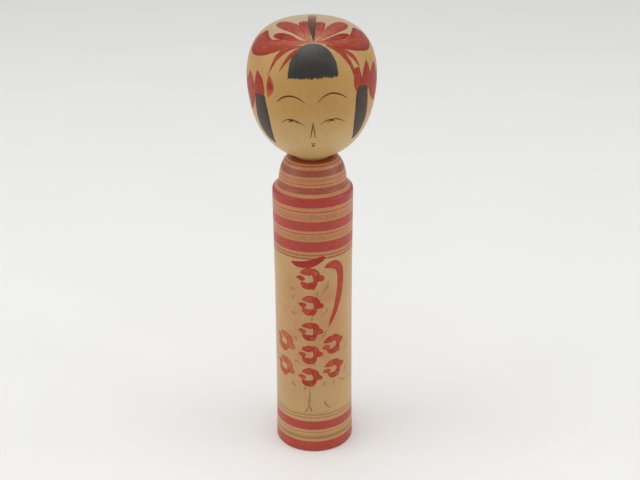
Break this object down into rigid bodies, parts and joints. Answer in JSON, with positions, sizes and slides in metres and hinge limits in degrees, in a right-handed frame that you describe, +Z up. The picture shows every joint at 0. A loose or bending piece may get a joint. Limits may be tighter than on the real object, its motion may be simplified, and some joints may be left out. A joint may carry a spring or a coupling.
{
  "type": "kokeshi doll",
  "caption": "Turned wooden kokeshi doll: a straight painted body with a stepped shoulder and a large head whose plug turns in the body's socket.",
  "frame": {"origin": "middle of the flat base, on the turning axis", "axes": "+Z up along the turning axis of head and body, the painted face looks along -Y, +X towards the viewer's right when facing the doll"},
  "size_m": [0.0648, 0.0648, 0.24],
  "materials": {
    "body_wood": "satin",
    "head_wood": "satin",
    "red_dye": "satin",
    "black_ink": "matte",
    "green_dye": "satin"
  },
  "bodies": {
    "body": {"body": "body_wood"},
    "head": {"head": "head_wood"}
  },
  "joints": [
    {"name": "head_turn", "type": "hinge", "parent": "body", "child": "head", "pos_m": [0, 0, 0.1702], "axis": [0, 0, 1], "continuous": true}
  ]
}
